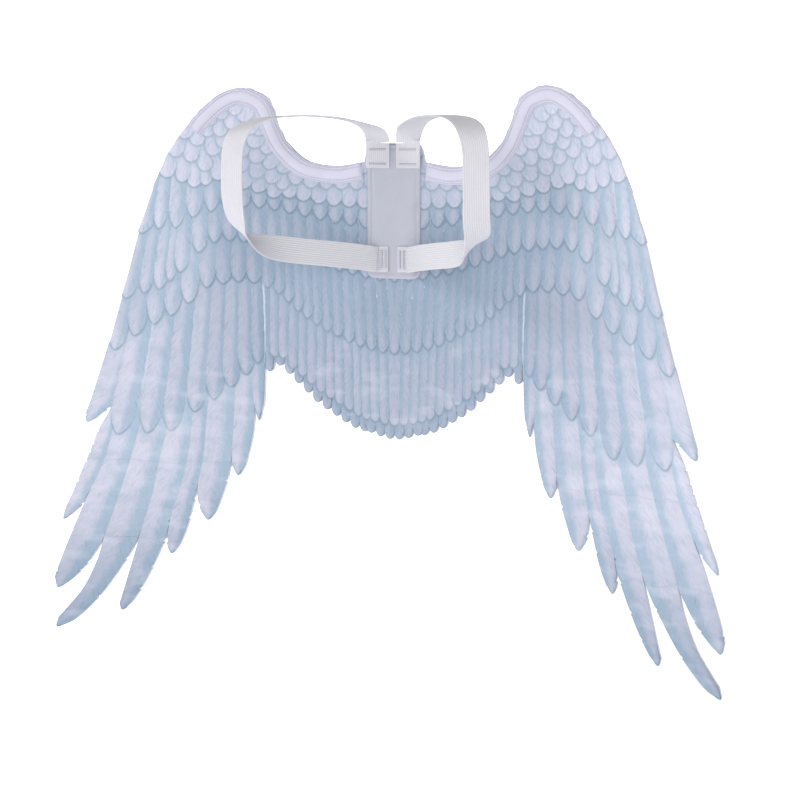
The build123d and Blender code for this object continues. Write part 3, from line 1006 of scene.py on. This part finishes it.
# ---------------------------------------------------------------- strips and thread
def strip(name, centre, across, out, columns, thick_front, thick_back, sharp=50):
    """A closed strip along a line. columns are places across it in millimetres. thick_front and thick_back
    are the heights there in metres, as tables of line points by columns. out points to its front."""
    rows, wide = len(centre), len(columns)
    side = across[:, None] * (np.asarray(columns)[:, None] * 0.001)
    front = centre[:, None] + side + out[:, None] * thick_front[..., None]
    back = centre[:, None] + side + out[:, None] * thick_back[..., None]
    points = np.vstack([front.reshape(-1, 3), back.reshape(-1, 3)])
    half = rows * wide
    number = np.arange(half).reshape(rows, wide)
    a, b, c, d = number[:-1, :-1], number[:-1, 1:], number[1:, 1:], number[1:, :-1]
    quads = [np.stack([a, b, c, d], -1).reshape(-1, 4), np.stack([a, d, c, b], -1).reshape(-1, 4) + half]
    for line, turned in ((number[0], True), (number[-1], False), (number[:, 0], False),
                         (number[:, -1], True)):
        p, q = line[:-1], line[1:]
        p, q = (q, p) if turned else (p, q)
        quads.append(np.stack([p, q, q + half, p + half], -1))
    quads = np.vstack(quads)
    faces = np.vstack([quads[:, :3], quads[:, [0, 2, 3]]])
    # Every face is turned over if the front would look backwards.
    if np.cross(front[0, 1] - front[0, 0], front[1, 0] - front[0, 0]) @ out[0] < 0:
        faces = faces[:, ::-1]
    length = length_along(centre) * 1000
    place = np.stack(np.broadcast_arrays(np.asarray(columns)[None, :], length[:, None], 0.0),
                     -1).reshape(-1, 3)
    place = np.vstack([place, place])
    return make_mesh(name, points, faces, {"place": place[faces.ravel()]}, sharp)


def thread_run(name, stitches, radius, sides=6):
    """Short rounded stitches as one piece, each given by its start and its end. Sizes in metres."""
    starts, ends = stitches[:, 0], stitches[:, 1]
    run = ends - starts
    length = np.linalg.norm(run, axis=1)
    run = run / length[:, None]
    other = np.where(np.abs(run[:, 2:]) > 0.8, [[1.0, 0, 0]], [[0, 0, 1.0]])
    u = np.cross(run, other)
    u /= np.linalg.norm(u, axis=1)[:, None]
    v = np.cross(run, u)
    stations = ((0.0, 0.35), (0.12, 0.85), (0.5, 1.0), (0.88, 0.85), (1.0, 0.35))
    angles = np.arange(sides) * 2 * math.pi / sides
    rings = []
    for share, fat in stations:
        middle = starts + run * (length * share)[:, None]
        spokes = u[:, None] * np.cos(angles)[:, None] + v[:, None] * np.sin(angles)[:, None]
        rings.append(middle[:, None] + radius * fat * spokes)
    points = np.stack(rings, 1).reshape(-1, 3)
    faces = []
    for r in range(len(stations) - 1):
        for k in range(sides):
            a, b = r * sides + k, r * sides + (k + 1) % sides
            faces += [(a, b, b + sides), (a, b + sides, a + sides)]
    last = (len(stations) - 1) * sides
    for k in range(1, sides - 1):
        faces += [(0, k + 1, k), (last, last + k, last + k + 1)]
    faces = np.array(faces)
    step = len(stations) * sides
    every = (faces[None] + (np.arange(len(starts)) * step)[:, None, None]).reshape(-1, 3)
    return make_mesh(name, points, every, sharp=80)


def mirror_if(points, sign):
    """Points of the left side, or of the right if the sign is -1."""
    return points * np.array([sign, 1, 1])


# ---------------------------------------------------------------- casing along the top edge
def casing_height(w, s, total):
    """How far the casing stands in front of the sheet, in millimetres, at w across and s along."""
    w = np.abs(w)
    channel = 1.55 + 1.2 * np.clip(1 - (w / CHANNEL) ** 2, 0, 1) ** 0.45
    lane = 1.2 + 0.8 * np.clip(1 - ((w - (CHANNEL + EDGE_ROW) / 2) / 0.95) ** 2, 0, 1)
    outermost = np.clip((w - EDGE_ROW) / (CASING_WIDTH / 2 - EDGE_ROW), 0, 1)
    edge = 1.1 * np.sqrt(np.clip(1 - outermost**2, 0, 1)) + 0.15
    height = np.where(w < CHANNEL, channel, np.where(w < EDGE_ROW, lane, edge))
    at_rows = np.exp(-((w - CHANNEL) / 1.3) ** 2) + np.exp(-((w - EDGE_ROW) / 1.0) ** 2)
    pucker = 0.16 * np.cos(2 * math.pi * s / STITCH_PITCH) * at_rows + 0.12 * np.sin(s / 8.5) * np.sin(w / 3 + s / 17)
    ends = np.clip(np.minimum(s, total - s) / 1.4, 0, 1)
    return (height + pucker) * np.sqrt(1 - (1 - ends) ** 2) + 0.1


def casing(side, sign):
    """The quilted channel over the boning, with its four stitch rows and its stitched ends."""
    line = resample(CASING_LINE, 260)
    across = quarter_turn(unit(np.gradient(line, axis=0)))
    s = length_along(line)
    columns = np.array([-8.7, -8.62, -8.4, -8.0, -7.5, -7.0, -6.55, -6.1, -5.6, -5.0, -4.0, -2.6, -1.2])
    columns = np.concatenate([columns, [0.0], -columns[::-1]])
    outer_edge = (0.025 * np.sin(s / 1.7) + 0.035 * np.sin(s / 2.9 + 2)) * ease(s / 90)
    w = columns[None, :] * (1 + outer_edge[:, None] * (columns > EDGE_ROW)[None, :])
    flat = line[:, None] + across[:, None] * w[..., None]
    height = casing_height(w, s[:, None], s[-1])
    front = wrapped(flat[..., 0], flat[..., 1], -HALF_SHEET - height)
    back = wrapped(flat[..., 0], flat[..., 1], np.full(w.shape, -HALF_SHEET + 0.01))
    middle = wrapped(line[:, 0], line[:, 1], np.full(len(line), -HALF_SHEET))
    middle, front, back = (mirror_if(p, sign) for p in (middle, front, back))
    # The strip's faces are made along the middle line first, and then its points move to their places.
    piece = strip(f"{side}_casing", middle, np.zeros((len(line), 3)), np.tile([0.0, -1, 0], (len(line), 1)),
                  columns, np.zeros(w.shape), np.zeros(w.shape))
    points = np.vstack([front.reshape(-1, 3), back.reshape(-1, 3)])
    piece.data.vertices.foreach_set("co", points.astype(np.float32).ravel())
    piece.data.update()
    normals_out(piece, front[len(line) // 2, len(columns) // 2], Vector((0, -1, 0)))
    dress(piece, "casing_cloth")
    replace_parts(piece, f"{side}_edge_casing")

    def on_casing(place, off):
        """A point just above the casing, at a place along it and off its middle line."""
        p = np.array([np.interp(place, s, line[:, k]) for k in (0, 1)])
        q = np.array([np.interp(place, s, across[:, k]) for k in (0, 1)])
        spot = p + q / np.linalg.norm(q) * off
        return wrapped(spot[0], spot[1],
                       -HALF_SHEET - casing_height(np.array(off), np.array(place), s[-1]) - 0.06)

    runs = [(on_casing(at, row),
             on_casing(at + 2.5, row)) for row in (-EDGE_ROW, -CHANNEL, CHANNEL, EDGE_ROW)
            for at in np.arange(3.0, s[-1] - 3.2, STITCH_PITCH)]
    runs += [(on_casing(place, at), on_casing(place, at + 2.4)) for place in (2.2, s[-1] - 2.2)
             for at in np.arange(-EDGE_ROW, EDGE_ROW - 2.4, 3.0)]
    stitches = thread_run(f"{side}_casing_stitches", mirror_if(np.array(runs), sign), STITCH_RADIUS)
    dress(stitches, "thread")
    for item in (piece, stitches):
        bend_at_root(item)


def normals_out(piece, spot, out):
    """Turns every face over if the one nearest a spot looks inwards."""
    faces = piece.data.polygons
    nearest = min(faces, key=lambda f: (f.center - Vector(spot)).length)
    if nearest.normal.dot(out) < 0:
        piece.data.flip_normals()


for side, sign in SIDES:
    casing(side, sign)


# ---------------------------------------------------------------- straps
# The loop's middle line from its upper sewn end round to its lower one, and its width direction there.
STRAP_LOOP = [
    ((16, -0.8, 66.2), (1, 0, 0)), ((17, -3, 73), (1, 0, 0)), ((23, -9, 81), (0.9, 0.4, 0)),
    ((34, -20, 87), (0.7, 0.72, 0)), ((52, -36, 91), (0.7, 0.72, 0)), ((74, -54, 92), (0.7, 0.72, 0)),
    ((96, -72, 90), (0.8, 0.6, 0)), ((111, -84, 84), (0.9, 0.44, 0)), ((120, -92, 74), (0.98, 0.17, 0)),
    ((124, -95, 60), (0.98, 0.17, 0)), ((125, -96, 38), (0.98, 0.17, 0)), ((125, -95, 16), (0.98, 0.17, 0)),
    ((124, -92, -2), (0.95, 0.3, 0.05)), ((122, -85, -16), (0.8, 0.35, 0.45)),
    ((115, -76, -26), (0.75, 0.3, 0.6)),
    ((101, -63, -33), (0.4, 0.2, 0.9)), ((80, -47, -37), (0, 0, 1)), ((56, -31, -40), (0, 0, 1)),
    ((34, -16, -43), (0, 0, 1)), ((20, -6.5, -45.5), (0, 0, 1)), ((16, -2.6, -46), (0, 0, 1)),
]


def elastic(name, centre, across):
    """A length of ribbed elastic. centre in millimetres, with its width direction at each point."""
    along = unit(np.gradient(centre, axis=0))
    across = unit(across - along * (across * along).sum(1)[:, None])
    out = np.cross(across, along)
    edge = STRAP_WIDTH / 2
    columns = np.concatenate([[-edge, -edge + 0.08, -edge + 0.25], np.arange(-edge + 0.5, edge - 0.4, 0.35),
                              [edge - 0.25, edge - 0.08, edge]])
    rounding = np.sqrt(np.clip(1 - np.clip((np.abs(columns) - edge + 0.6) / 0.6, 0, 1) ** 2, 0, 1))
    ribs = 0.5 + 0.5 * np.cos(2 * math.pi * columns / RIB)
    thick = STRAP_THICK / 2 * (0.2 + 0.8 * rounding) - 0.24 * (1 - ribs) * rounding
    s = length_along(centre)
    sway = 0.02 * np.sin(s / 1.3)
    thick = (thick[None, :] + sway[:, None] * rounding[None, :]) * 0.001
    return strip(name, centre * 0.001, across, out, columns, thick, -thick, sharp=70), s[-1]


def bar_tack(middle, upright):
    """Dense zigzag thread over a sewn end, about 18 mm by 2.4 mm, with three straight threads over it."""
    runs = []
    for k, at in enumerate(np.arange(-8.6, 8.7, 0.52)):
        lean = 0.22 if k % 2 else -0.22
        runs.append([(at - lean, 0, -1.1), (at + lean, 0, 1.1)])
    runs += [[(-8.8, 0.2, across), (8.8, 0.2, across)] for across in (-0.55, 0.0, 0.55)]
    runs = np.array(runs)
    return np.array(middle, float) + (runs[..., ::-1] if upright else runs)


def strap(side, sign):
    """A shoulder loop, its two ends sewn to the pad, and the thread that holds them."""
    places = np.array([p for p, _ in STRAP_LOOP], float) * [sign, 1, 1]
    widths = np.array([w for _, w in STRAP_LOOP], float) * [sign, 1, 1]
    both = smooth(np.hstack([places, widths * 12]), 1.6)
    loop, length = elastic(f"{side}_strap_loop", both[:, :3], both[:, 3:])
    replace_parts(dress(loop, "elastic"), f"{side}_strap")
    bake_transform(loop)

    top = np.stack([np.full(20, STRAP_X * sign), np.full(20, -0.8), np.linspace(42, 66, 20)], -1)
    top_tab, _ = elastic(f"{side}_strap_top_end", top, np.tile([1.0 * sign, 0, 0], (20, 1)))
    low = np.stack([np.linspace(5, 17, 12) * sign, np.full(12, -0.8), np.full(12, STRAP_LOW_Z)], -1)
    low_tab, _ = elastic(f"{side}_strap_low_end", low, np.tile([0, 0, 1.0], (12, 1)))
    tack_y = -1.95
    runs = np.vstack([bar_tack((STRAP_X, tack_y, z), False) for z in (60, 46)]
                     + [bar_tack((x, tack_y, STRAP_LOW_Z), True) for x in (7.5, 11.6)])
    tacks = thread_run(f"{side}_bar_tack_thread", mirror_if(runs, sign) * 0.001, TACK_RADIUS)
    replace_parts(dress(tacks, "thread"), f"{side}_strap_bar_tacks")
    for tab in (top_tab, low_tab):
        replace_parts(dress(tab, "elastic"), f"{side}_strap_tabs")
    for item in (top_tab, low_tab, tacks):
        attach(item, "centre")


for side, sign in SIDES:
    strap(side, sign)


# ---------------------------------------------------------------- back pad and spine tape
def rounded_rectangle(half_x, half_z, radius, count=28):
    """Points round a rounded rectangle, the same number whatever its size."""
    corners = []
    for k, (sx, sz) in enumerate(((1, 1), (-1, 1), (-1, -1), (1, -1))):
        turn = np.linspace(k * math.pi / 2, (k + 1) * math.pi / 2, 9)
        middle = np.array([sx * (half_x - radius), sz * (half_z - radius)])
        corners.append(middle + radius * np.stack([np.cos(turn), np.sin(turn)], -1))
    outline = []
    for here, following in zip(corners, corners[1:] + corners[:1]):
        gap = np.linspace(0, 1, count)[1:-1, None]
        outline += [here, here[-1] * (1 - gap) + following[0] * gap]
    return np.vstack(outline)


def back_pad():
    """The cushion on the centre piece's front, with a valley where its stitching runs."""
    half_x, half_z = PAD_SIZE[0] / 2, PAD_SIZE[1] / 2
    # Inset from the cut edge, and how far back the face lies there.
    profile = [(0, 1.9), (0.15, 1.1), (0.7, 0.62), (1.6, 0.4), (2.8, 0.42), (3.7, 0.72), (4.3, 0.95),
               (4.9, 0.72),
               (6.2, 0.36), (8.5, 0.16), (12, 0.06), (17, 0.02), (22, 0.0)]
    front = []
    for inset, y in profile:
        ring = rounded_rectangle(half_x - inset, half_z - inset, max(8 - inset, 0.4))
        pucker = 0.08 * np.cos(np.arange(len(ring)) * 2.1) * math.exp(-((inset - PAD_ROW) / 1.6) ** 2)
        front.append(np.stack([ring[:, 0], y + pucker, ring[:, 1]], -1))
    back = []
    for ring in front:
        depth = SHEET_Y - CUP_RADIUS + np.sqrt((CUP_RADIUS - HALF_SHEET - 0.02) ** 2 - ring[:, 0] ** 2)
        back.append(np.stack([ring[:, 0], depth, ring[:, 2]], -1))
    rings, count = len(front), len(front[0])
    middles = [front[-1].mean(0), back[-1].mean(0)]
    points = np.vstack([*front, *back, *middles]) * 0.001
    here = np.arange(count)
    after = np.roll(here, -1)
    deep = rings * count
    faces = [np.stack([here, deep + here, after], -1), np.stack([after, deep + here, deep + after], -1)]
    for r in range(rings - 1):
        a, b = r * count, (r + 1) * count
        for p, q, t in ((a + here, a + after, b + after), (a + here, b + after, b + here)):
            faces += [np.stack([p, q, t], -1), np.stack([p, t, q], -1) + deep]
    last = (rings - 1) * count
    faces.append(np.stack([last + here, last + after, np.full(count, 2 * deep)], -1))
    faces.append(np.stack([deep + last + after, deep + last + here, np.full(count, 2 * deep + 1)], -1))
    piece = make_mesh("back_pad_cushion", points, np.vstack(faces), sharp=75)
    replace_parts(dress(piece, "pad_cloth"), "back_pad")
    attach(piece, "centre")

    ring = rounded_rectangle(half_x - PAD_ROW, half_z - PAD_ROW, 4)
    ring = resample(np.vstack([ring, ring[:1]]), 400)
    valley_y = 0.72
    runs = [[(ring[j, 0], valley_y, ring[j, 1]) for j in (k, k + 3)] for k in range(0, 393, 4)]
    stitches = thread_run("back_pad_stitches", np.array(runs) * 0.001, STITCH_RADIUS)
    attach(dress(stitches, "thread"), "centre")


def spine_tape():
    """The binding down the centre piece's back, stitched round its edge."""
    z = np.linspace(CENTRE_TOP - 4, -310, 150)
    centre = wrapped(np.zeros(len(z)), z, np.full(len(z), HALF_SHEET + 0.02))
    half = TAPE_WIDTH / 2
    columns = np.array([-half, -9.93, -9.7, -9.2, -TAPE_ROW, -8.0, -6, -4, -2])
    columns = np.concatenate([columns, [0.0], -columns[::-1]])
    edge = np.sqrt(np.clip(1 - np.clip((np.abs(columns) - half + 0.5) / 0.5, 0, 1) ** 2, 0, 1))
    valley = 0.3 * np.exp(-((np.abs(columns) - TAPE_ROW) / 0.5) ** 2)
    s = np.abs(z - z[0])
    ends = np.sqrt(1 - (1 - np.clip(np.minimum(s, s[-1] - s) / 0.8, 0, 1)) ** 2)
    ripple = 0.07 * np.cos(2 * math.pi * s / 3.4)
    height = (0.15 + 0.8 * edge - valley)[None, :] * (0.3 + 0.7 * ends[:, None])
    height = (height + ripple[:, None] * (valley > 0.02)) * 0.001
    bow = -(columns**2) / (2 * CUP_RADIUS) * 0.001
    piece = strip("spine_tape_binding", centre, np.tile([1.0, 0, 0], (len(z), 1)),
                  np.tile([0, 1.0, 0], (len(z), 1)), columns, height + bow, np.zeros(height.shape) + bow)
    normals_out(piece, centre[75] + [0, 0.001, 0], Vector((0, 1, 0)))
    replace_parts(dress(piece, "spine_binding"), "spine_tape")
    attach(piece, "centre")
    y = SHEET_Y + HALF_SHEET + 0.72
    runs = [[(x, y, at + PEAK_Z), (x, y, at - 2.5 + PEAK_Z)] for x in (-TAPE_ROW, TAPE_ROW)
            for at in np.arange(z[0] - 2, z[-1] + 4, -3.4)]
    runs += [[(x, y + 0.2, at + PEAK_Z), (x + 2.4, y + 0.2, at + PEAK_Z)] for at in (z[0] - 2, z[-1] + 2)
             for x in np.arange(-7.6, 6.0, 3.0)]
    stitches = thread_run("spine_tape_stitches", np.array(runs) * 0.001, STITCH_RADIUS)
    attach(dress(stitches, "thread"), "centre")


back_pad()
spine_tape()


# ---------------------------------------------------------------- stage and light
def studio_paint(name, roughness, specular, glow, grain, pale, paler):
    """A matt pale paint that glows a little, so that the background stays plain."""
    n = Nodes(name, roughness=roughness, specular=specular)
    n.shader.inputs["Emission Color"].default_value = (1, 1, 1, 1)
    n.shader.inputs["Emission Strength"].default_value = glow
    return n.finish(n.mix(n.noise(n.here(), grain, 2), colour(pale), colour(paler)))


def add_stage():
    """A floor, and a round wall that stands far behind every view."""
    floor_z = cad_low[2] - 0.0015
    corners = np.array([(-14, -9, floor_z), (14, -9, floor_z), (14, 14, floor_z), (-14, 14, floor_z)])
    floor = make_mesh("floor", corners, np.array([(0, 1, 2), (0, 2, 3)]))
    floor.data.materials.append(studio_paint("studio_floor", 0.7, 0.1, 0.52, 3, "f1f1f3", "f5f5f6"))
    count, radius, tall = 96, 9, 4.5
    turn = np.linspace(0, 2 * math.pi, count + 1)[:-1]
    low = np.stack([radius * np.sin(turn), radius * np.cos(turn), np.full(count, floor_z - 0.2)], -1)
    k = np.arange(count)
    after = (k + 1) % count
    faces = [np.stack([k, after, after + count], -1), np.stack([k, after + count, k + count], -1)]
    wall = make_mesh("wall", np.vstack([low, low + [0, 0, tall]]), np.vstack(faces))
    wall.data.materials.append(studio_paint("studio_wall", 0.9, 0.0, 0.72, 2, "f3f3f5", "f6f6f7"))


def area_light(name, place, target, size, power):
    data = bpy.data.lights.new(name, "AREA")
    data.shape = "RECTANGLE"
    data.size, data.size_y = size
    data.energy = power
    light = bpy.data.objects.new(name, data)
    light.location = place
    light.rotation_mode = "QUATERNION"
    light.rotation_quaternion = (Vector(target) - Vector(place)).to_track_quat("-Z", "Y")
    bpy.context.scene.collection.objects.link(light)


add_stage()
area_light("key", (-2.3, -1.7, 2.0), (0, 0, -0.15), (1.1, 1.1), 42)
area_light("fill", (2.6, -1.8, 0.9), (0, 0, -0.15), (1.8, 1.8), 2.5)
area_light("back", (0.2, 2.2, 1.7), (0, 0, -0.1), (2.0, 1.0), 12)
world = bpy.data.worlds.new("studio")
world.use_nodes = True
sky = world.node_tree.nodes["Background"]
sky.inputs["Color"].default_value = (1, 0.995, 0.97, 1)
sky.inputs["Strength"].default_value = 0.25
bpy.context.scene.world = world
bpy.context.scene.view_settings.view_transform = "Standard"
